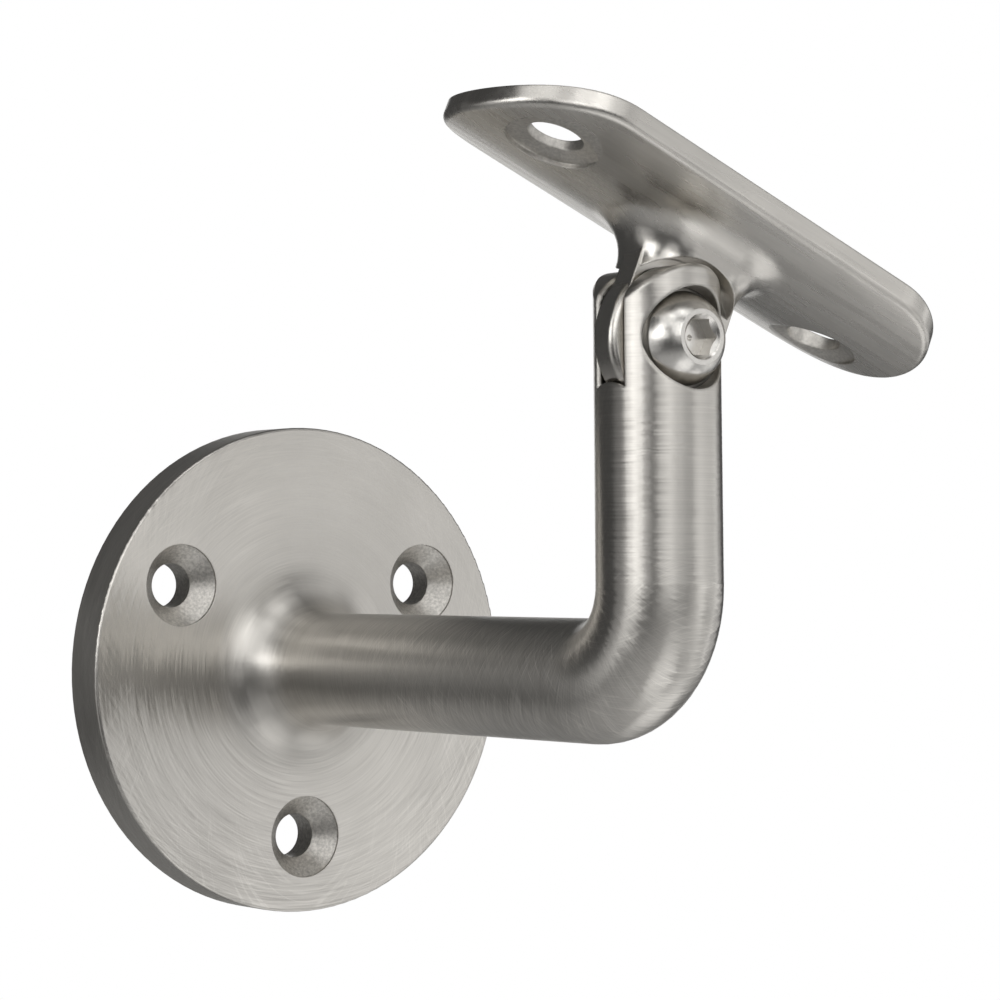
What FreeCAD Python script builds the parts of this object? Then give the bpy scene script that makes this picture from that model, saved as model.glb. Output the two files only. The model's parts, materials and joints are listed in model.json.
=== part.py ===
"""Wall-mounted handrail bracket with a saddle that tilts on a fork.

Frame: the wall is the plane Y = 0 and the bracket stands out of it along -Y, +Z is up and
the handrail runs along X.  The origin is the centre of the wall plate's back face.
All sizes are millimetres.
"""
import FreeCAD, Part
import math
import os

import Sketcher
from FreeCAD import Placement, Rotation, Vector

DIMENSIONS = (
    # wall plate and its three countersunk screw holes
    ("plate_diameter", 62.0),
    ("plate_thickness", 6.0),
    ("plate_edge", 0.4),
    ("root_flare", 6.5),
    ("rim_to_hole", 9.5),
    ("wall_hole", 5.6),
    ("sink_diameter", 10.3),
    ("sink_lip", 0.3),
    # round arm, bent up into the post that ends in the fork
    ("arm_diameter", 14.2),
    ("reach", 77.0),
    ("bend_radius", 11.0),
    ("pivot_height", 38.0),
    # fork
    ("slot_width", 4.2),
    ("ear_rise", 1.05),
    ("fork_edge", 0.35),
    ("spot_depth", 2.95),
    ("spot_clearance", 0.45),
    ("hole_clearance", 0.2),
    ("thread_clearance", 0.02),
    # button-head pivot screw with a hexagon socket
    ("screw_diameter", 6.0),
    ("screw_inset", 1.1),
    ("screw_point", 0.6),
    ("head_diameter", 10.5),
    ("head_height", 3.6),
    ("head_collar", 0.7),
    ("head_flat", 6.2),
    ("socket_width", 4.0),
    ("socket_depth", 2.2),
    ("socket_lead", 0.25),
    # tongue and neck of the saddle
    ("tongue_proud", 1.0),
    ("tongue_front_gap", 0.1),
    ("tongue_back_gap", 1.1),
    ("tongue_end_gap", 0.3),
    ("tongue_edge", 0.8),
    ("pivot_clearance", 0.05),
    ("shoulder_gap", 0.85),
    ("neck_height", 2.3),
    ("neck_depth", 10.2),
    ("neck_inset", 1.0),
    ("neck_corner", 4.4),
    ("neck_flare", 5.4),
    # saddle plate, curved to the handrail, and its two staggered rail-screw holes
    ("rail_diameter", 60.3),
    ("saddle_length", 68.0),
    ("saddle_width", 26.0),
    ("saddle_thickness", 2.2),
    ("saddle_edge", 0.85),
    ("end_to_hole", 9.6),
    ("hole_stagger", 4.1),
    ("rail_hole", 6.4),
    ("rail_seat", 10.7),
    ("rail_seat_lip", 0.3),
    ("rail_seat_cone", 0.6),
    ("rest_tilt", 23.6),
)
WALL_HOLE_COUNT = 3
OVERRUN = 2.0

doc = FreeCAD.newDocument("handrail_bracket")
sheet = doc.addObject("Spreadsheet::Sheet", "Sizes")


class Size:
    """A length with the sheet expression that gives it."""

    def __init__(self, value, text):
        self.value = value
        self.text = text

    def __add__(self, other):
        other = as_size(other)
        return Size(self.value + other.value, f"({self.text} + {other.text})")

    def __sub__(self, other):
        other = as_size(other)
        return Size(self.value - other.value, f"({self.text} - {other.text})")

    def __mul__(self, other):
        other = as_size(other)
        return Size(self.value * other.value, f"({self.text} * {other.text})")

    def __truediv__(self, other):
        other = as_size(other)
        return Size(self.value / other.value, f"({self.text} / {other.text})")

    def __neg__(self):
        return Size(-self.value, f"(0 - {self.text})")

    def leg(self, other):
        """The other leg of a right triangle with this hypotenuse."""
        squares = self * self - other * other
        return Size(math.sqrt(squares.value), f"sqrt({squares.text})")


def as_size(number):
    return number if isinstance(number, Size) else Size(float(number), repr(float(number)))


def fill_sheet():
    sizes = {}
    for row, (alias, number) in enumerate(DIMENSIONS, start=1):
        sheet.set(f"A{row}", alias.replace("_", " "))
        sheet.set(f"B{row}", str(number))
        sheet.setAlias(f"B{row}", alias)
        sizes[alias] = Size(number, f"Sizes.{alias}")
    doc.recompute()
    return sizes


# ---------------------------------------------------------------- sketches and features

def bind(item, prop, size):
    item.setExpression(prop, size.text)


def origin_feature(body, role):
    return next(item for item in body.Origin.OriginFeatures if item.Role == role)


def new_body(label, base=(0, 0, 0), tilt=None):
    """A body placed at base, turned about +Y by tilt."""
    body = doc.addObject("PartDesign::Body", label)
    body.Label = label
    base = [as_size(value) for value in base]
    angle = tilt.value if tilt else 0.0
    body.Placement = Placement(Vector(*[value.value for value in base]), Rotation(Vector(0, 1, 0), angle))
    for axis, value in zip("xyz", base):
        bind(body, f".Placement.Base.{axis}", value)
    if tilt:
        bind(body, ".Placement.Rotation.Angle", tilt)
    return body


class Profile:
    """A sketch on one of its body's own planes, with each vertex held by the sheet."""

    def __init__(self, body, name, role, lift=None):
        self.sketch = body.newObject("Sketcher::SketchObject", name)
        self.sketch.AttachmentSupport = [(origin_feature(body, role), "")]
        self.sketch.MapMode = "FlatFace"
        if lift is not None:
            self.sketch.AttachmentOffset = Placement(Vector(0, 0, lift.value), Rotation())
            bind(self.sketch, ".AttachmentOffset.Base.z", lift)

    def hold(self, geometry, point, x, y):
        """Fix a point; None leaves that coordinate to the curves that meet there."""
        for kind, axis, size in (("DistanceX", -2, x), ("DistanceY", -1, y)):
            if size is None:
                continue
            if not isinstance(size, Size):
                self.sketch.addConstraint(Sketcher.Constraint("PointOnObject", geometry, point, axis))
                continue
            index = self.sketch.addConstraint(
                Sketcher.Constraint(kind, -1, 1, geometry, point, size.value))
            bind(self.sketch, f"Constraints[{index}]", size)

    def circle(self, x, y, radius):
        centre = Vector(as_size(x).value, as_size(y).value, 0)
        index = self.sketch.addGeometry(Part.Circle(centre, Vector(0, 0, 1), radius.value), False)
        self.hold(index, 3, x, y)
        held = self.sketch.addConstraint(Sketcher.Constraint("Radius", index, radius.value))
        bind(self.sketch, f"Constraints[{held}]", radius)
        return self

    def chain(self, corners, closed=True):
        """Lines and arcs through corners given as (x, y, held, centre, turn).

        held names the coordinates that are fixed; centre and turn (+1 anticlockwise, -1
        clockwise) make the span that leaves a corner an arc, and are left out for a line.
        """
        count = len(corners)
        spans = count if closed else count - 1
        ends = []
        for number in range(spans):
            start = corners[number]
            after = corners[(number + 1) % count]
            first = Vector(as_size(start[0]).value, as_size(start[1]).value, 0)
            last = Vector(as_size(after[0]).value, as_size(after[1]).value, 0)
            if len(start) > 3:
                ends.append(self.arc(first, last, start[3], start[4]))
            else:
                ends.append((self.sketch.addGeometry(Part.LineSegment(first, last), False), 1, 2))
        for number in range(spans if closed else spans - 1):
            geometry, _, tail = ends[number]
            following, head, _ = ends[(number + 1) % spans]
            self.sketch.addConstraint(
                Sketcher.Constraint("Coincident", geometry, tail, following, head))
        for number, corner in enumerate(corners):
            if number < spans:
                geometry, point = ends[number][0], ends[number][1]
            else:
                geometry, point = ends[number - 1][0], ends[number - 1][2]
            held = corner[2]
            self.hold(geometry, point, corner[0] if "x" in held else None,
                      corner[1] if "y" in held else None)
        return self

    def arc(self, first, last, centre, turn):
        middle = Vector(as_size(centre[0]).value, as_size(centre[1]).value, 0)
        begin, finish = (first, last) if turn > 0 else (last, first)
        angles = [math.atan2(point.y - middle.y, point.x - middle.x) for point in (begin, finish)]
        if angles[1] <= angles[0]:
            angles[1] += 2 * math.pi
        circle = Part.Circle(middle, Vector(0, 0, 1), (first - middle).Length)
        index = self.sketch.addGeometry(Part.ArcOfCircle(circle, *angles), False)
        self.hold(index, 3, *centre)
        return (index, 1, 2) if turn > 0 else (index, 2, 1)


def feature(body, kind, name, profile, **settings):
    item = body.newObject(f"PartDesign::{kind}", name)
    item.Profile = profile.sketch
    for prop, value in settings.items():
        if isinstance(value, Size):
            bind(item, prop, value)
        else:
            setattr(item, prop, value)
    profile.sketch.Visibility = False
    doc.recompute()
    return item


def turned(body, kind, name, profile, axis):
    """A Revolution or Groove through a full turn about one of the sketch's own axes."""
    return feature(body, kind, name, profile, ReferenceAxis=(profile.sketch, [axis]), Angle=360.0)


def repeated(body, name, original, role, count):
    pattern = body.newObject("PartDesign::PolarPattern", name)
    pattern.Originals = [original]
    pattern.Axis = (origin_feature(body, role), [""])
    pattern.Angle = 360.0
    pattern.Occurrences = count
    body.Tip = pattern
    doc.recompute()
    return pattern


def eased(body, kind, name, base, size, chosen):
    """A Fillet or Chamfer on every edge whose quarter points all satisfy chosen(point)."""
    names = []
    for number, edge in enumerate(base.Shape.Edges, start=1):
        low, high = edge.ParameterRange
        points = [edge.valueAt(low + (high - low) * share) for share in (0.25, 0.5, 0.75)]
        if all(chosen(point) for point in points):
            names.append(f"Edge{number}")
    if not names:
        raise RuntimeError(f"{name}: no edge to ease")
    dressing = body.newObject(f"PartDesign::{kind}", name)
    dressing.Base = (base, names)
    bind(dressing, "Radius" if kind == "Fillet" else "Size", size)
    doc.recompute()
    return dressing


def near(value, target):
    return abs(value - target) < 0.02


# ---------------------------------------------------------------- wall bracket

def wall_bracket(s):
    """One casting: round plate, flared root, bent arm, and a post that ends in a fork."""
    body = new_body("wall_bracket")
    arm_radius = s["arm_diameter"] / 2
    plate_radius = s["plate_diameter"] / 2
    pivot_y = -s["reach"]
    pivot_z = s["pivot_height"]
    ear_radius = arm_radius + s["ear_rise"]

    # the plate and the root flare are one turned form about Y (sketch: x = Y, y = Z)
    root_end = -(s["plate_thickness"] + s["root_flare"])
    flare_foot = arm_radius + s["root_flare"]
    front = -s["plate_thickness"]
    plate = Profile(body, "plate_profile", "YZ_Plane").chain([
        (0, 0, "xy"),
        (0, plate_radius, "xy"),
        (front + s["plate_edge"], plate_radius, "xy",
         (front + s["plate_edge"], plate_radius - s["plate_edge"]), 1),
        (front, plate_radius - s["plate_edge"], "y"),
        (front, flare_foot, "xy", (root_end, flare_foot), -1),
        (root_end, arm_radius, "x"),
        (root_end, 0, "xy"),
    ])
    turned(body, "Revolution", "plate_and_root", plate, "H_Axis")

    # the arm leaves along -Y, bends up round the elbow and ends above the ears
    elbow_y = pivot_y + s["bend_radius"]
    path = Profile(body, "arm_path", "YZ_Plane").chain([
        (front, 0, "xy"),
        (elbow_y, 0, "xy", (elbow_y, s["bend_radius"]), -1),
        (pivot_y, s["bend_radius"], "y"),
        (pivot_y, pivot_z + ear_radius + OVERRUN, "y"),
    ], closed=False)
    path.sketch.addConstraint(Sketcher.Constraint("Vertical", 2))
    section = Profile(body, "arm_section", "XZ_Plane", s["plate_thickness"])
    section.circle(0, 0, arm_radius)
    arm = body.newObject("PartDesign::AdditivePipe", "arm")
    arm.Profile = section.sketch
    arm.Spine = (path.sketch, ["Edge1", "Edge2", "Edge3"])
    doc.recompute()

    # the post's top is trimmed round about the pivot axis (sketch: x = X, y = Z)
    edge_x = arm_radius + OVERRUN
    shoulder_z = pivot_z + ear_radius.leg(arm_radius)
    top_z = pivot_z + ear_radius + OVERRUN * 2
    crown = Profile(body, "crown_profile", "XZ_Plane", s["reach"]).chain([
        (-edge_x, shoulder_z, "xy"),
        (-arm_radius, shoulder_z, "xy", (0, pivot_z), -1),
        (arm_radius, shoulder_z, "x"),
        (edge_x, shoulder_z, "xy"),
        (edge_x, top_z, "xy"),
        (-edge_x, top_z, "xy"),
    ])
    feature(body, "Pocket", "crown", crown, Type="Length",
            Length=arm_radius * 2 + OVERRUN * 2, Midplane=True)

    # the slot, with a floor that follows the end of the saddle's tongue
    floor_radius = arm_radius + s["tongue_proud"] + s["tongue_end_gap"]
    slot = Profile(body, "slot_profile", "XZ_Plane", s["reach"]).chain([
        (-floor_radius, pivot_z, "xy", (0, pivot_z), 1),
        (floor_radius, pivot_z, "y"),
        (floor_radius, top_z, "xy"),
        (-floor_radius, top_z, "xy"),
    ])
    slot_cut = feature(body, "Pocket", "slot", slot, Type="Length",
                       Length=s["slot_width"], Midplane=True)

    def fork_edge(point):
        from_post = math.hypot(point.x, point.y - pivot_y.value)
        from_pivot = math.hypot(point.x, point.z - pivot_z.value)
        on_post = near(from_post, arm_radius.value)
        on_crown = near(from_pivot, ear_radius.value)
        on_slot = near(abs(point.y - pivot_y.value), s["slot_width"].value / 2)
        on_floor = near(from_pivot, floor_radius.value) and point.z < pivot_z.value
        return on_post and (on_crown or on_slot or on_floor) or on_crown and on_slot

    eased(body, "Chamfer", "fork_edges", slot_cut, s["fork_edge"], fork_edge)

    # the spot face for the screw head, the clearance hole and the tapped hole
    spot_level = arm_radius - s["spot_depth"]
    spot = Profile(body, "spot_profile", "XZ_Plane", s["reach"] + spot_level)
    spot.circle(0, pivot_z, s["head_diameter"] / 2 + s["spot_clearance"])
    feature(body, "Pocket", "spot_face", spot, Type="Length",
            Length=s["spot_depth"] + OVERRUN, Reversed=True)
    clear = Profile(body, "clearance_profile", "XZ_Plane", s["reach"])
    clear.circle(0, pivot_z, s["screw_diameter"] / 2 + s["hole_clearance"])
    feature(body, "Pocket", "clearance_hole", clear, Type="Length",
            Length=arm_radius + OVERRUN, Reversed=True)
    tapped = Profile(body, "tapped_profile", "XZ_Plane", s["reach"])
    tapped.circle(0, pivot_z, s["screw_diameter"] / 2 + s["thread_clearance"])
    feature(body, "Pocket", "tapped_hole", tapped, Type="Length", Length=arm_radius + OVERRUN)

    # one countersunk wall hole below the arm, then two more round the plate
    hole_z = -(plate_radius - s["rim_to_hole"])
    hole_radius = s["wall_hole"] / 2
    sink_radius = s["sink_diameter"] / 2
    lip_y = front + s["sink_lip"]
    bore_y = lip_y + sink_radius - hole_radius
    sink = Profile(body, "wall_hole_profile", "YZ_Plane").chain([
        (front - OVERRUN, hole_z, "xy"),
        (front - OVERRUN, hole_z + sink_radius, "xy"),
        (lip_y, hole_z + sink_radius, "xy"),
        (bore_y, hole_z + hole_radius, "xy"),
        (as_size(OVERRUN), hole_z + hole_radius, "xy"),
        (as_size(OVERRUN), hole_z, "xy"),
    ])
    wall_hole = feature(body, "Groove", "wall_hole", sink,
                        ReferenceAxis=(sink.sketch, ["Edge6"]), Angle=360.0)
    repeated(body, "wall_holes", wall_hole, "Y_Axis", WALL_HOLE_COUNT)
    return body


# ---------------------------------------------------------------- pivot screw

def pivot_screw(s):
    """Button-head screw along Y, with its bearing face at the body's own origin."""
    arm_radius = s["arm_diameter"] / 2
    bearing = arm_radius - s["spot_depth"]
    body = new_body("pivot_screw", (0, -(s["reach"] + bearing), s["pivot_height"]))
    shank = s["screw_diameter"] / 2
    head = s["head_diameter"] / 2
    flat = s["head_flat"] / 2
    length = bearing + arm_radius - s["screw_inset"]
    crown_y = -s["head_height"]
    collar_y = -s["head_collar"]

    # the dome is an arc from the collar to the flat, centred on the screw's own axis
    span = s["head_height"] - s["head_collar"]
    centre_y = collar_y - (span * span + flat * flat - head * head) / (span * 2)
    outline = Profile(body, "screw_profile", "YZ_Plane").chain([
        (crown_y, 0, "xy"),
        (crown_y, flat, "xy", (centre_y, 0), -1),
        (collar_y, head, "x"),
        (0, head, "xy"),
        (0, shank, "xy"),
        (length - s["screw_point"], shank, "xy"),
        (length, shank - s["screw_point"], "xy"),
        (length, 0, "xy"),
    ])
    turned(body, "Revolution", "screw_form", outline, "H_Axis")

    # hexagon socket with two of its flats level, and a cone that leads into it
    half = s["socket_width"] / 2
    side = s["socket_width"] / math.sqrt(3)
    socket = Profile(body, "socket_profile", "XZ_Plane", s["head_height"]).chain([
        (side, 0, "xy"),
        (side / 2, half, "xy"),
        (-side / 2, half, "xy"),
        (-side, 0, "xy"),
        (-side / 2, -half, "xy"),
        (side / 2, -half, "xy"),
    ])
    feature(body, "Pocket", "socket", socket, Type="Length", Length=s["socket_depth"])
    lead = Profile(body, "socket_lead_profile", "YZ_Plane").chain([
        (crown_y, 0, "xy"),
        (crown_y, side + s["socket_lead"], "xy"),
        (crown_y + side + s["socket_lead"], 0, "xy"),
    ])
    turned(body, "Groove", "socket_cone", lead, "H_Axis")
    return body


# ---------------------------------------------------------------- saddle

def saddle(s):
    """One casting: curved plate, flared neck and tongue, modelled about the pivot axis."""
    pivot = (0, -s["reach"], s["pivot_height"])
    body = new_body("saddle", pivot, s["rest_tilt"])
    half_width = s["saddle_width"] / 2
    seat_radius = s["rail_diameter"] / 2
    back_radius = seat_radius + s["saddle_thickness"]
    tongue_radius = s["arm_diameter"] / 2 + s["tongue_proud"]
    ear_radius = s["arm_diameter"] / 2 + s["ear_rise"]
    relief_radius = ear_radius + s["shoulder_gap"]
    underside = relief_radius + s["neck_height"]
    rail_z = underside + back_radius

    # the plate starts as an upright block with round ends (sketch: x = X, y = Y)
    bend_x = s["saddle_length"] / 2 - half_width
    block = Profile(body, "plan_profile", "XY_Plane", underside).chain([
        (-bend_x, half_width, "xy", (-bend_x, 0), 1),
        (-bend_x, -half_width, "x"),
        (bend_x, -half_width, "xy", (bend_x, 0), 1),
        (bend_x, half_width, "x"),
    ])
    feature(body, "Pad", "plan_block", block, Length=seat_radius)

    # the rail's seat and the belly below it are cylinders about the rail's axis
    seat = Profile(body, "seat_profile", "YZ_Plane").circle(0, rail_z, seat_radius)
    feature(body, "Pocket", "rail_seat_cut", seat, Type="Length",
            Length=s["saddle_length"] + OVERRUN, Midplane=True)
    side_y = half_width + OVERRUN
    belly_z = rail_z - back_radius.leg(side_y)
    belly = Profile(body, "belly_profile", "YZ_Plane").chain([
        (-side_y, belly_z, "xy", (0, rail_z), 1),
        (side_y, belly_z, "x"),
        (side_y, underside - OVERRUN, "xy"),
        (-side_y, underside - OVERRUN, "xy"),
    ])
    belly_cut = feature(body, "Pocket", "belly_cut", belly, Type="Length",
                        Length=s["saddle_length"] + OVERRUN, Midplane=True)

    def on_back(point):
        return near(math.hypot(point.y, point.z - rail_z.value), back_radius.value)

    def rim_edge(point):
        outside = max(abs(point.x) - bend_x.value, 0)
        return on_back(point) and near(math.hypot(outside, point.y), half_width.value)

    eased(body, "Fillet", "belly_edge", belly_cut, s["saddle_edge"], rim_edge)

    # the neck flares into the belly, and the fork's ears are cleared below it
    neck_x = tongue_radius - s["neck_inset"]
    neck_y = s["neck_depth"] / 2
    inner_x = neck_x - s["neck_corner"]
    inner_y = neck_y - s["neck_corner"]
    neck = Profile(body, "neck_profile", "XY_Plane", tongue_radius / 3).chain([
        (inner_x, neck_y, "x"),
        (-inner_x, neck_y, "xy", (-inner_x, inner_y), 1),
        (-neck_x, inner_y, "y"),
        (-neck_x, -inner_y, "xy", (-inner_x, -inner_y), 1),
        (-inner_x, -neck_y, "x"),
        (inner_x, -neck_y, "xy", (inner_x, -inner_y), 1),
        (neck_x, -inner_y, "y"),
        (neck_x, inner_y, "xy", (inner_x, inner_y), 1),
    ])
    neck_pad = feature(body, "Pad", "neck", neck,
                       Length=underside + s["saddle_thickness"] / 2 - tongue_radius / 3)

    def neck_root(point):
        return on_back(point) and abs(point.x) < neck_x.value + 0.1 and abs(point.y) < neck_y.value + 0.1

    eased(body, "Fillet", "neck_flare", neck_pad, s["neck_flare"], neck_root)
    front_face = s["slot_width"] / 2 - s["tongue_front_gap"]
    back_face = s["slot_width"] / 2 - s["tongue_back_gap"]
    for name, lift, towards_room in (("front", front_face, True), ("back", -back_face, False)):
        relief = Profile(body, f"{name}_relief_profile", "XZ_Plane", lift).circle(0, 0, relief_radius)
        feature(body, "Pocket", f"{name}_relief", relief, Type="Length",
                Length=s["neck_depth"], Reversed=towards_room)

    # the tongue is a disc about the pivot with an eased front rim, and a stem up to the neck
    rim_y = -front_face + s["tongue_edge"]
    rim_z = tongue_radius - s["tongue_edge"]
    disc = Profile(body, "disc_profile", "YZ_Plane").chain([
        (-front_face, 0, "xy"),
        (-front_face, rim_z, "xy", (rim_y, rim_z), -1),
        (rim_y, tongue_radius, "x"),
        (back_face, tongue_radius, "xy"),
        (back_face, 0, "xy"),
    ])
    turned(body, "Revolution", "tongue_disc", disc, "H_Axis")
    stem = Profile(body, "stem_profile", "XZ_Plane", front_face).chain([
        (-rim_z, 0, "xy"),
        (rim_z, 0, "xy"),
        (rim_z, underside, "xy"),
        (-rim_z, underside, "xy"),
    ])
    feature(body, "Pad", "tongue_stem", stem, Length=front_face + back_face, Reversed=True)
    bore = Profile(body, "pivot_bore_profile", "XZ_Plane")
    bore.circle(0, 0, s["screw_diameter"] / 2 + s["pivot_clearance"])
    feature(body, "Pocket", "pivot_bore", bore, Type="Length", Length=s["slot_width"] * 2, Midplane=True)

    # one rail-screw hole with its shallow seat, and its twin half a turn round
    hole_x = s["saddle_length"] / 2 - s["end_to_hole"]
    hole_radius = s["rail_hole"] / 2
    seat_rim = s["rail_seat"] / 2
    mouth_z = rail_z - back_radius.leg(s["hole_stagger"])
    lip_z = mouth_z + s["rail_seat_lip"]
    cone_z = lip_z + s["rail_seat_cone"]
    hole = Profile(body, "rail_hole_profile", "XZ_Plane", s["hole_stagger"]).chain([
        (-hole_x, underside - OVERRUN, "xy"),
        (-hole_x - seat_rim, underside - OVERRUN, "xy"),
        (-hole_x - seat_rim, lip_z, "xy"),
        (-hole_x - hole_radius, cone_z, "xy"),
        (-hole_x - hole_radius, rail_z, "xy"),
        (-hole_x, rail_z, "xy"),
    ])
    rail_hole = feature(body, "Groove", "rail_hole", hole,
                        ReferenceAxis=(hole.sketch, ["Edge6"]), Angle=360.0)
    repeated(body, "rail_holes", rail_hole, "Z_Axis", 2)
    return body


# ---------------------------------------------------------------- check and write

def check_document():
    faulty = [item.Name for item in doc.Objects if {"Invalid", "Error"} & set(item.State)]
    if faulty:
        raise RuntimeError(f"failed: {', '.join(faulty)}")


def write(body):
    shape = body.Shape
    if shape.isNull() or not shape.isValid() or len(shape.Solids) != 1:
        raise RuntimeError(f"{body.Label}: not one valid solid")
    shape.exportStep(os.path.join("parts", f"{body.Label}.step"))
    print(f"{body.Label}: {shape.Volume:.1f} mm3, {len(shape.Faces)} faces")


s = fill_sheet()
bodies = [wall_bracket(s), pivot_screw(s), saddle(s)]
doc.recompute()
check_document()
os.makedirs("parts", exist_ok=True)
for body in bodies:
    write(body)
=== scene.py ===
"""Dressing of the handrail bracket: satin brushed castings, a bright pivot screw, studio light and camera."""
import json
import math

import bpy
from mathutils import Matrix, Vector


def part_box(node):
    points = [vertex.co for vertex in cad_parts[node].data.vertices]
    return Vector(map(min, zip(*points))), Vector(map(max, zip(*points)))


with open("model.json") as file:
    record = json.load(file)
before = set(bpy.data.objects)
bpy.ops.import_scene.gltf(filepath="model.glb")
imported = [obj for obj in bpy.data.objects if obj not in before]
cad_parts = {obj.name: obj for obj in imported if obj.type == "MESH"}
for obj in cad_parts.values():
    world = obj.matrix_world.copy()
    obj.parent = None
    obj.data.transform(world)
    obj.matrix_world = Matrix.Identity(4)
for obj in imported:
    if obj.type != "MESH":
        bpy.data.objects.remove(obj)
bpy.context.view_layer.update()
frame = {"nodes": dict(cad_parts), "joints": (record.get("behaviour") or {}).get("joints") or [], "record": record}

MM = 0.001

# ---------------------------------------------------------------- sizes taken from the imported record

record = frame["record"]
mounts = {mount["name"]: mount for mount in record["mounts"]}
hinge = next(joint for joint in frame["joints"] if joint["name"] == "saddle_tilt")
pivot = Vector(hinge["pos_m"]) / MM
rail_up = Vector(mounts["rail_screws"]["axis"])
rail_along = Vector(hinge["axis"]).cross(rail_up)
wall_hole_circle = mounts["wall_screws"]["dims"]["pcd_mm"] / 2
wall_hole_count = mounts["wall_screws"]["dims"]["count"]
rail_hole_circle = mounts["rail_screws"]["dims"]["pcd_mm"] / 2
screw_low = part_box("pivot_screw")[0] / MM

# ---------------------------------------------------------------- other sizes, in millimetres

ARM_RADIUS = 7.1
BEND_RADIUS = 11.0
BEND_START = pivot.y + BEND_RADIUS
POST_BACK = BEND_START + 8.0
PLATE_RADIUS = 31.0
PLATE_FACE = -6.0
PLATE_EDGE = 0.4
SINK_RADIUS = 5.15
FORK_START = 24.0
SLOT_FLOOR = 25.0
SLOT_HALF_WIDTH = 2.15
SPOT_RADIUS = 5.7
SPOT_FLOOR = pivot.y - ARM_RADIUS + 2.95
SADDLE_UNDER = 10.2
SEAT_RADIUS = 5.35
RAIL_HOLE_STAGGER = 4.1
SOCKET_CORNER = 2.31


# ---------------------------------------------------------------- node writing

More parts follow.
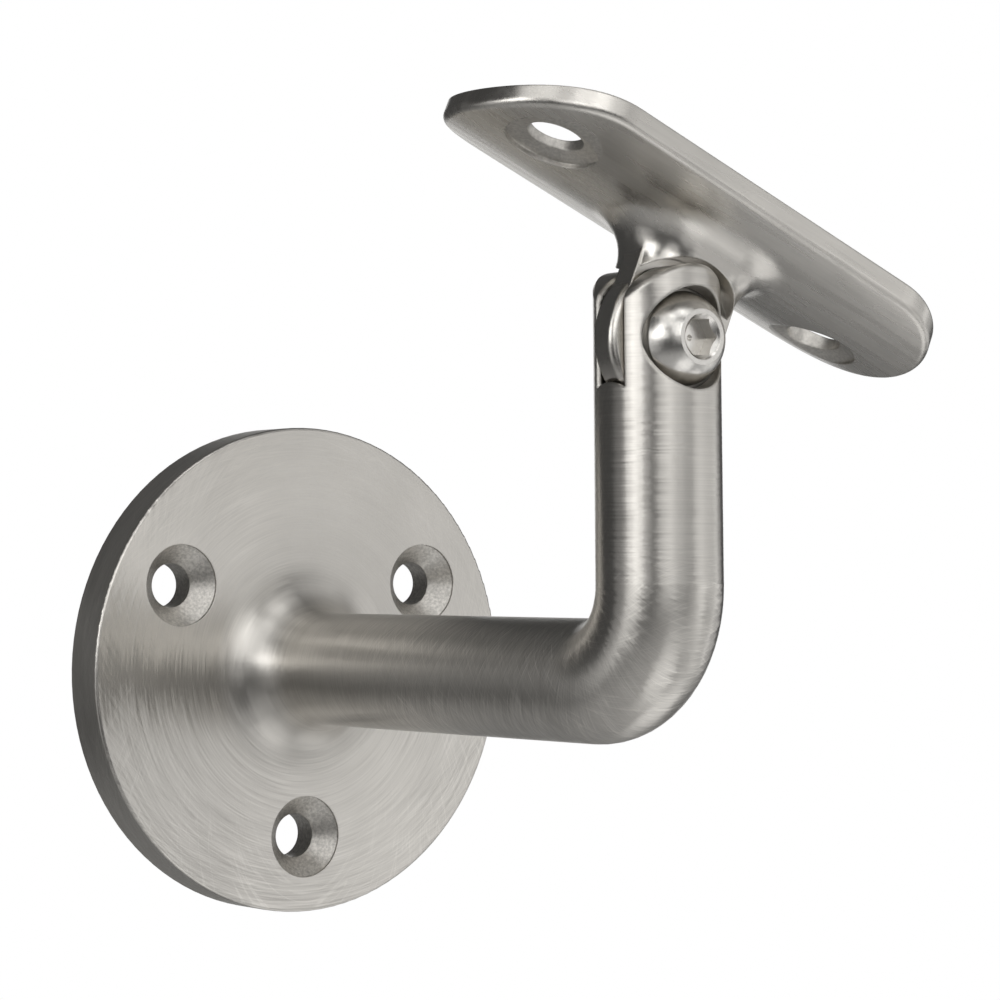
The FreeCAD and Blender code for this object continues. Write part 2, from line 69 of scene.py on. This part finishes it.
class Recipe:
    """Writes a material's nodes; every call takes sockets or plain values and gives back a socket."""

    def __init__(self, name):
        self.material = bpy.data.materials.new(name)
        self.material.use_nodes = True
        self.tree = self.material.node_tree
        self.tree.nodes.clear()
        self.output = self.tree.nodes.new("ShaderNodeOutputMaterial")

    def node(self, kind, inputs=(), **settings):
        item = self.tree.nodes.new(kind)
        for name, value in settings.items():
            setattr(item, name, value)
        for key, value in dict(inputs).items():
            self.feed(item.inputs[key], value)
        return item

    def feed(self, socket, value):
        if isinstance(value, bpy.types.NodeSocket):
            self.tree.links.new(value, socket)
        else:
            socket.default_value = value

    def math(self, operation, first, second=0.0, third=0.0):
        return self.node("ShaderNodeMath", {0: first, 1: second, 2: third}, operation=operation).outputs[0]

    def add(self, first, second):
        return self.math("ADD", first, second)

    def sub(self, first, second):
        return self.math("SUBTRACT", first, second)

    def mul(self, first, second):
        return self.math("MULTIPLY", first, second)

    def length(self, first, second):
        squares = self.add(self.mul(first, first), self.mul(second, second))
        return self.math("SQRT", self.math("MAXIMUM", squares, 1e-6))

    def step(self, value, low, high):
        """0 below low, 1 above high, smooth between; low above high turns it round."""
        item = self.node("ShaderNodeMapRange", {"Value": value, "From Min": low, "From Max": high},
                         interpolation_type="SMOOTHSTEP")
        return item.outputs["Result"]

    def between(self, value, low, high, to_low, to_high):
        item = self.node("ShaderNodeMapRange", {
            "Value": value, "From Min": low, "From Max": high, "To Min": to_low, "To Max": to_high})
        return item.outputs["Result"]

    def vector(self, x, y, z):
        return self.node("ShaderNodeCombineXYZ", {0: x, 1: y, 2: z}).outputs[0]

    def dot(self, first, second):
        item = self.node("ShaderNodeVectorMath", {0: first, 1: second}, operation="DOT_PRODUCT")
        return item.outputs["Value"]

    def cross(self, first, second):
        return self.node("ShaderNodeVectorMath", {0: first, 1: second}, operation="CROSS_PRODUCT").outputs[0]

    def place(self):
        """The point in millimetres, in the bracket's own frame."""
        coordinates = self.node("ShaderNodeTexCoord")
        scaled = self.node("ShaderNodeVectorMath", {0: coordinates.outputs["Object"], 3: 1 / MM},
                           operation="SCALE")
        return scaled.outputs[0]

    def parts(self, vector):
        return self.node("ShaderNodeSeparateXYZ", {0: vector}).outputs

    def noise(self, vector, scale, detail=2.0, roughness=0.5):
        item = self.node("ShaderNodeTexNoise", {
            "Vector": vector, "Scale": scale, "Detail": detail, "Roughness": roughness})
        return item.outputs[0]

    def strokes(self, point, across, per_mm, stroke, detail=2.0, roughness=0.6):
        """Brush strokes: quick in the value across them, slow over the point, so each fades out."""
        item = self.node("ShaderNodeTexNoise", {
            "Vector": self.tone(point, 1 / stroke), "W": self.mul(across, per_mm), "Scale": 1.0,
            "Detail": detail, "Roughness": roughness}, noise_dimensions="4D")
        return item.outputs[0]

    def hairs(self, point, across, per_mm, stroke):
        """Thin scratches where a slow noise passes its middle."""
        lines = self.strokes(point, across, per_mm, stroke, 1.0)
        return self.step(self.math("ABSOLUTE", self.sub(lines, 0.5)), 0.025, 0.004)

    def unit(self, vector):
        return self.node("ShaderNodeVectorMath", {0: vector}, operation="NORMALIZE").outputs[0]

    def turned(self, vector):
        """A direction of the piece as a direction of the room, so that it turns with the piece."""
        item = self.node("ShaderNodeVectorTransform", {0: vector}, vector_type="VECTOR",
                         convert_from="OBJECT", convert_to="WORLD")
        return item.outputs[0]

    def leaning(self, normal, grain, lean):
        """The normal tipped along the grain, as each brush stroke tips its own strip of the surface."""
        return self.unit(self.node("ShaderNodeVectorMath", {0: normal, 1: self.tone(grain, lean)},
                                   operation="ADD").outputs[0])

    def blend(self, factor, first, second, data_type="FLOAT"):
        item = self.node("ShaderNodeMix", data_type=data_type)
        first_input, output = {"FLOAT": (2, 0), "VECTOR": (4, 1)}[data_type]
        self.feed(item.inputs[0], factor)
        self.feed(item.inputs[first_input], first)
        self.feed(item.inputs[first_input + 1], second)
        return item.outputs[output]

    def tone(self, colour, factor):
        """A colour or a direction multiplied by a value."""
        item = self.node("ShaderNodeVectorMath", {0: colour, 3: factor}, operation="SCALE")
        return item.outputs[0]

    def bump(self, height, distance, normal):
        item = self.node("ShaderNodeBump", {
            "Height": height, "Distance": distance, "Strength": 1.0, "Normal": normal})
        return item.outputs[0]

    def metal(self, colour, roughness, anisotropy, grain, normal):
        """Brushed metal: the highlight is drawn out across the grain, which is a quarter turn."""
        shader = self.node("ShaderNodeBsdfPrincipled", {
            "Base Color": colour, "Metallic": 1.0, "Roughness": roughness, "Anisotropic": anisotropy,
            "Anisotropic Rotation": 0.25, "Tangent": grain, "Normal": normal})
        self.tree.links.new(shader.outputs[0], self.output.inputs[0])
        return self.material


STEEL = (0.615, 0.593, 0.555)
BRIGHT_STEEL = (0.72, 0.70, 0.665)
ROUGH_RECESS = 0.40
SMOOTH_RECESS = 0.22
SPECKLES_PER_MM = 2.6


def soft_edges(recipe, radius):
    """The normal with the sharp edges rounded in shading only; the radius is in metres."""
    return recipe.node("ShaderNodeBevel", {"Radius": radius}, samples=4).outputs[0]


def brushed_bracket():
    """Satin casting: rings on the plate, grain across the arm and post, crossed scratches on the bend."""
    r = Recipe("brushed_bracket")
    point = r.place()
    x, y, z = r.parts(point)

    # how far out from the centre line and how far along it: arm, bend, post
    from_axis = r.length(x, z)
    post_y = r.sub(y, pivot.y)
    bend_y = r.sub(y, BEND_START)
    bend_z = r.sub(z, BEND_RADIUS)
    from_bend = r.length(bend_y, bend_z)
    bend_out = r.sub(BEND_RADIUS, from_bend)
    turn = r.math("ARCTAN2", r.mul(bend_y, -1.0), r.mul(bend_z, -1.0))
    on_post = r.mul(r.math("GREATER_THAN", z, BEND_RADIUS), r.math("LESS_THAN", y, POST_BACK))
    on_bend = r.mul(r.math("LESS_THAN", z, BEND_RADIUS), r.math("LESS_THAN", y, BEND_START))

    arm_end = ARM_RADIUS - BEND_START
    along_arm = r.sub(from_axis, y)
    along_bend = r.add(arm_end, r.mul(turn, BEND_RADIUS))
    along_post = r.add(z, arm_end + BEND_RADIUS * (math.pi / 2 - 1))
    along = r.blend(on_post, r.blend(on_bend, along_arm, along_bend), along_post)

    sideways = r.blend(on_post, r.blend(on_bend, z, bend_out), post_y)

    # the brush ran round the centre line
    arm_grain = r.vector(r.mul(z, -1.0), 0.0, x)
    post_grain = r.vector(r.mul(post_y, -1.0), x, 0.0)
    bend_axis = r.vector(0.0, r.mul(bend_z, -1.0), bend_y)
    inward = r.math("DIVIDE", bend_out, from_bend)
    bend_offset = r.vector(x, r.mul(bend_y, r.mul(inward, -1.0)), r.mul(bend_z, r.mul(inward, -1.0)))
    bend_grain = r.cross(bend_axis, bend_offset)
    grain = r.blend(on_post, r.blend(on_bend, arm_grain, bend_grain, "VECTOR"), post_grain, "VECTOR")
    grain = r.turned(r.unit(grain))

    # fine strokes, broad strokes and a slow cloudiness
    fine = r.strokes(point, along, 5.0, 7.0, 1.0, 0.5)
    broad = r.strokes(point, along, 1.1, 12.0)
    cloud = r.noise(point, 0.09, 2.0, 0.5)

    # crossed scratches, strongest from the middle of the arm into the bend
    scratches_begin = r.step(along, arm_end - 52.0, arm_end - 24.0)
    scratches_end = r.step(along, arm_end + 26.0, arm_end + 10.0)
    near_bend = r.mul(scratches_begin, scratches_end)
    rising = r.hairs(point, r.add(along, r.mul(sideways, 0.75)), 2.2, 16.0)
    falling = r.hairs(point, r.sub(along, r.mul(sideways, 0.50)), 3.4, 16.0)
    crossed = r.mul(r.math("MAXIMUM", rising, falling), near_bend)
    slanted = r.strokes(point, r.sub(along, r.mul(sideways, 0.55)), 5.5, 8.0, 1.0)
    slanted = r.mul(r.sub(slanted, 0.5), near_bend)

    # the countersunk cones are left rougher
    cones = 0.0
    for index in range(wall_hole_count):
        angle = -math.pi / 2 + index * 2 * math.pi / wall_hole_count
        off_x = r.sub(x, wall_hole_circle * math.cos(angle))
        off_z = r.sub(z, wall_hole_circle * math.sin(angle))
        cones = r.add(cones, r.math("LESS_THAN", r.length(off_x, off_z), SINK_RADIUS + 0.02))
    sunk = r.mul(cones, r.math("GREATER_THAN", y, PLATE_FACE + 0.02))
    speckle = r.noise(point, SPECKLES_PER_MM, 3.0, 0.6)

    # inside the fork
    slot = r.mul(r.math("LESS_THAN", r.math("ABSOLUTE", post_y), SLOT_HALF_WIDTH),
                 r.math("GREATER_THAN", z, SLOT_FLOOR))
    slot = r.mul(slot, r.math("LESS_THAN", r.math("ABSOLUTE", x), ARM_RADIUS - 1.0))

    # painted shade: the floor of the recess round the screw head is darkened, as shade falls there
    from_pivot = r.length(x, r.sub(z, pivot.z))
    recess_shade = r.mul(r.step(from_pivot, SPOT_RADIUS - 0.7, SPOT_RADIUS - 0.35),
                  r.math("LESS_THAN", from_pivot, SPOT_RADIUS + 0.03))
    recess_shade = r.mul(recess_shade, r.math("COMPARE", y, SPOT_FLOOR, 0.3))

    # the rounded edge of the plate, smooth all the way round
    radial = r.vector(r.math("DIVIDE", x, from_axis), 0.0, r.math("DIVIDE", z, from_axis))
    past_edge = r.math("MAXIMUM", r.sub(from_axis, PLATE_RADIUS - PLATE_EDGE), 0.0)
    past_face = r.math("MAXIMUM", r.sub(PLATE_FACE + PLATE_EDGE, y), 0.0)
    rim_normal = r.node("ShaderNodeVectorMath", {
        0: r.tone(radial, past_edge), 1: r.vector(0.0, r.mul(past_face, -1.0), 0.0)}, operation="ADD")
    rim_normal = r.turned(r.unit(rim_normal.outputs[0]))
    on_rim = r.mul(r.math("GREATER_THAN", from_axis, PLATE_RADIUS - PLATE_EDGE - 0.2),
                   r.math("GREATER_THAN", y, PLATE_FACE - 0.5))
    softness = r.blend(r.math("GREATER_THAN", z, FORK_START), 0.18 * MM, 0.5 * MM)
    smooth = r.blend(on_rim, soft_edges(r, softness), rim_normal, "VECTOR")

    # relief, shade and roughness
    height = r.add(r.mul(fine, 0.6), r.mul(broad, 0.4))
    height = r.blend(sunk, height, r.mul(speckle, 3.5))
    normal = r.bump(height, 0.007 * MM, smooth)
    lean = r.add(r.mul(r.sub(fine, 0.5), 0.14), r.add(r.mul(slanted, 0.22), r.mul(crossed, 0.04)))
    normal = r.leaning(normal, grain, r.mul(lean, r.sub(1.0, sunk)))
    shade = r.between(fine, 0.25, 0.75, 0.92, 1.07)
    shade = r.mul(shade, r.between(cloud, 0.3, 0.7, 0.96, 1.04))
    shade = r.mul(shade, r.add(1.0, r.add(r.mul(crossed, 0.18), r.mul(slanted, 0.45))))
    shade = r.blend(sunk, shade, r.between(speckle, 0.35, 0.65, 0.75, 1.12))
    # painted shade on the floor of the recess round the screw head
    shade = r.mul(shade, r.sub(1.0, r.mul(recess_shade, 0.55)))
    colour = r.tone(STEEL, shade)
    roughness = r.between(broad, 0.3, 0.7, 0.285, 0.315)
    round_root = r.mul(r.step(from_axis, 22.0, 10.0), r.step(y, -16.0, -8.0))
    roughness = r.add(roughness, r.mul(round_root, 0.06))
    roughness = r.blend(sunk, roughness, ROUGH_RECESS)
    roughness = r.blend(slot, roughness, SMOOTH_RECESS)
    anisotropy = r.mul(r.sub(1.0, sunk), 0.80)
    return r.metal(colour, roughness, anisotropy, grain, normal)


def brushed_saddle():
    """Satin casting: long grain on the curved plate, a smoother neck and rough screw seats."""
    r = Recipe("brushed_saddle")
    point = r.place()
    local = r.node("ShaderNodeVectorMath", {0: point, 1: tuple(pivot)}, operation="SUBTRACT").outputs[0]
    long = r.dot(local, tuple(rail_along))
    high = r.dot(local, tuple(rail_up))
    wide = r.parts(local)[1]
    fine = r.noise(r.vector(r.mul(long, 0.16), r.mul(wide, 3.2), r.mul(high, 3.2)), 1.0, 3.0, 0.65)
    broad = r.noise(r.vector(r.mul(long, 0.07), r.mul(wide, 0.8), r.mul(high, 0.8)), 1.0, 2.0, 0.5)
    cloud = r.noise(point, 0.11, 2.0, 0.5)
    speckle = r.noise(point, SPECKLES_PER_MM, 3.0, 0.6)
    on_neck = r.step(high, SADDLE_UNDER + 0.6, SADDLE_UNDER - 2.6)

    # the two screw seats, one to each side of the middle line
    hole_out = math.sqrt(rail_hole_circle ** 2 - RAIL_HOLE_STAGGER ** 2)
    seats = 0.0
    for side in (1, -1):
        off_x = r.sub(long, side * hole_out)
        off_y = r.sub(wide, side * RAIL_HOLE_STAGGER)
        seats = r.add(seats, r.math("LESS_THAN", r.length(off_x, off_y), SEAT_RADIUS))

    height = r.add(r.mul(fine, 0.6), r.mul(broad, 0.4))
    height = r.blend(on_neck, height, r.mul(speckle, 0.9))
    height = r.blend(seats, height, r.mul(speckle, 2.0))
    normal = r.bump(height, 0.006 * MM, soft_edges(r, 0.25 * MM))
    shade = r.between(r.add(fine, broad), 0.7, 1.3, 0.95, 1.05)
    shade = r.mul(shade, r.between(cloud, 0.3, 0.7, 0.96, 1.04))
    shade = r.blend(seats, shade, r.between(speckle, 0.35, 0.65, 0.82, 1.06))
    roughness = r.blend(on_neck, r.between(broad, 0.3, 0.7, 0.24, 0.31), SMOOTH_RECESS)
    roughness = r.blend(seats, roughness, ROUGH_RECESS)
    anisotropy = r.mul(r.sub(1.0, r.math("MAXIMUM", on_neck, seats)), 0.55)
    grain = r.turned(tuple(rail_along))
    normal = r.leaning(normal, grain, r.mul(r.sub(fine, 0.5), 0.07))
    return r.metal(r.tone(STEEL, shade), roughness, anisotropy, grain, normal)


def bright_screw():
    """Machined button head with turned rings, brighter than the castings, and a rougher pressed socket."""
    r = Recipe("bright_screw")
    point = r.place()
    x, y, z = r.parts(point)
    up = r.sub(z, pivot.z)
    out = r.length(x, up)
    deep = r.mul(r.step(out, SOCKET_CORNER + 0.09, SOCKET_CORNER + 0.01),
                 r.step(y, screw_low.y + 0.10, screw_low.y + 0.25))
    rings = r.noise(r.vector(r.mul(out, 7.0), r.mul(r.math("DIVIDE", x, out), 1.2),
                             r.mul(r.math("DIVIDE", up, out), 1.2)), 1.0)
    pits = r.noise(point, 3.2, 3.0, 0.65)
    height = r.add(r.mul(rings, 0.5), r.mul(pits, r.blend(deep, 1.2, 2.0)))
    plain = r.node("ShaderNodeNewGeometry").outputs["Normal"]
    floor = r.step(r.math("ABSOLUTE", r.parts(plain)[1]), 0.6, 0.8)
    smooth = r.blend(deep, soft_edges(r, 0.08 * MM), plain, "VECTOR")
    normal = r.bump(height, 0.006 * MM, smooth)
    shade = r.between(pits, 0.3, 0.7, 0.95, 1.05)
    # painted shade and painted highlight: inside the socket the walls are darkened and the floor facing out is
    # lightened
    shade = r.mul(shade, r.blend(deep, 1.0, r.blend(floor, 0.78, 1.25)))
    roughness = r.blend(deep, r.between(rings, 0.3, 0.7, 0.21, 0.27), 0.30)
    grain = r.turned(r.vector(r.mul(up, -1.0), 0.0, x))
    return r.metal(r.tone(BRIGHT_STEEL, shade), roughness, 0.25, grain, normal)


def dress(node, material):
    for place in frame["nodes"][node].material_slots:
        place.material = material


dress("wall_bracket", brushed_bracket())
dress("saddle", brushed_saddle())
dress("pivot_screw", bright_screw())

# ---------------------------------------------------------------- studio

FLOOR_LEVEL = -0.55
FLOOR_HALF_SIDE = 1.6
BACKDROP_DISTANCE = 1.55
BACKDROP_HALF_SIDE = 0.34
WHITE = (1.0, 1.0, 1.0, 1.0)
PALE = (0.82, 0.82, 0.82, 1.0)
WORLD_LEVEL = 0.07


def pale_floor():
    r = Recipe("pale_floor")
    matt = r.node("ShaderNodeBsdfDiffuse", {"Color": PALE})
    r.tree.links.new(matt.outputs[0], r.output.inputs[0])
    return r.material


def white_backdrop():
    """Matt white that reads as plain white to the camera and in reflections."""
    r = Recipe("white_backdrop")
    matt = r.node("ShaderNodeBsdfDiffuse", {"Color": PALE})
    glow = r.node("ShaderNodeEmission", {"Color": WHITE, "Strength": 1.0})
    path = r.node("ShaderNodeLightPath")
    seen = r.math("MAXIMUM", path.outputs["Is Camera Ray"],
                  r.math("MAXIMUM", path.outputs["Is Glossy Ray"], path.outputs["Is Transmission Ray"]))
    mix = r.node("ShaderNodeMixShader", {0: seen, 1: matt.outputs[0], 2: glow.outputs[0]})
    r.tree.links.new(mix.outputs[0], r.output.inputs[0])
    return r.material


def panel(name, centre, right, up, material):
    """A flat rectangle from its centre and two half-side vectors."""
    mesh = bpy.data.meshes.new(name)
    corners = [centre - right - up, centre + right - up, centre + right + up, centre - right + up]
    mesh.from_pydata([tuple(corner) for corner in corners], [], [(0, 1, 2, 3)])
    mesh.materials.append(material)
    item = bpy.data.objects.new(name, mesh)
    bpy.context.scene.collection.objects.link(item)


YAW = math.radians(-34.87)
PITCH = math.radians(4.95)
ROLL = math.radians(-0.19)
EYE = Vector((-0.22470, -0.34454, 0.01319))
forward = Vector((-math.sin(YAW) * math.cos(PITCH), math.cos(YAW) * math.cos(PITCH), math.sin(PITCH)))
level_right = Vector((math.cos(YAW), math.sin(YAW), 0.0))

lens = bpy.data.cameras.new("camera")
lens.sensor_width = 36.0
lens.lens = 112.64
lens.shift_x = 0.1249
lens.shift_y = -0.2058
lens.clip_start = 0.01
camera = bpy.data.objects.new("camera", lens)
level_up = level_right.cross(forward)
axes = Matrix((level_right, level_up, -forward)).transposed().to_4x4()
camera.matrix_world = Matrix.Translation(EYE) @ axes @ Matrix.Rotation(ROLL, 4, "Z")
bpy.context.scene.collection.objects.link(camera)
bpy.context.scene.camera = camera

world = bpy.data.worlds.new("studio")
world.use_nodes = True
world.node_tree.nodes["Background"].inputs["Color"].default_value = WHITE
world.node_tree.nodes["Background"].inputs["Strength"].default_value = WORLD_LEVEL
bpy.context.scene.world = world

away = Vector((forward.x, forward.y, 0.0)).normalized()
panel("floor", Vector((0.0, -0.04, FLOOR_LEVEL)), level_right * FLOOR_HALF_SIDE, away * FLOOR_HALF_SIDE,
      pale_floor())
backdrop_centre = EYE + away * BACKDROP_DISTANCE + level_right * 0.06 + Vector((0.0, 0.0, 0.02))
panel("backdrop", backdrop_centre, level_right * BACKDROP_HALF_SIDE, Vector((0.0, 0.0, BACKDROP_HALF_SIDE)),
      white_backdrop())

AIM = Vector((0.0, -0.045, 0.015))
LAMP_DISTANCE = 0.9
LOWEST_SHARE = 0.81
WIDE = 34.0
NARROW = 20.0

# arcs of softboxes: name, azimuths from the -Y side towards +X, elevation, angular width, strength of each
SOFTBOXES = (
    ("overhead", (-35, 10), 62, WIDE, 0.70),
    ("high_left", (-60,), 42, WIDE, 0.70),
    ("high_right", (60,), 42, WIDE, 0.45),
    ("front", (-30, -10, 10), 22, WIDE, 0.75),
    ("upper_right", (70,), 22, WIDE, 0.25),
    ("window_top", (-75,), 22, NARROW, 0.50),
    ("window", (-88, -75), 9, NARROW, 0.40),
    ("window_end", (-62,), 9, NARROW, 0.20),
    ("level_left", (-88,), 5, WIDE, 0.20),
    ("level_front", (-24,), 5, WIDE, 0.35),
    ("level_right", (40,), 5, WIDE, 0.50),
    ("level_side", (72,), 5, WIDE, 0.40),
    ("low_left", (-110, -90), -12, WIDE, 0.20),
    ("low_right", (30, 50), -12, WIDE, 0.20),
    ("low_side", (90,), -12, WIDE, 0.35),
    ("floor_fill", (0, 36), -32, WIDE, 0.25),
    ("floor_side", (72,), -32, WIDE, 0.40),
    ("under", (0, 90), -60, WIDE, 0.50),
)


def lamp(name, azimuth, elevation, spread, strength):
    """A round softbox that faces the bracket; the low ones stand nearer, so that they clear the floor."""
    side, rise = math.radians(azimuth), math.radians(elevation)
    distance = LAMP_DISTANCE
    if rise < 0:
        distance = min(distance, (AIM.z - FLOOR_LEVEL) * LOWEST_SHARE / math.sin(-rise))
    light = bpy.data.lights.new(name, "AREA")
    light.shape = "DISK"
    light.size = 2 * distance * math.tan(math.radians(spread) / 2)
    light.energy = strength * (distance / LAMP_DISTANCE) ** 2
    item = bpy.data.objects.new(name, light)
    item.visible_camera = False
    way = Vector((math.sin(side) * math.cos(rise), -math.cos(side) * math.cos(rise), math.sin(rise)))
    turn = (-way).to_track_quat("-Z", "Y")
    item.matrix_world = Matrix.Translation(AIM + way * distance) @ turn.to_matrix().to_4x4()
    bpy.context.scene.collection.objects.link(item)


for name, azimuths, elevation, width, strength in SOFTBOXES:
    for index, azimuth in enumerate(azimuths, 1):
        lamp(f"{name}_{index}", azimuth, elevation, width, strength)

bpy.context.scene.view_settings.view_transform = "Standard"
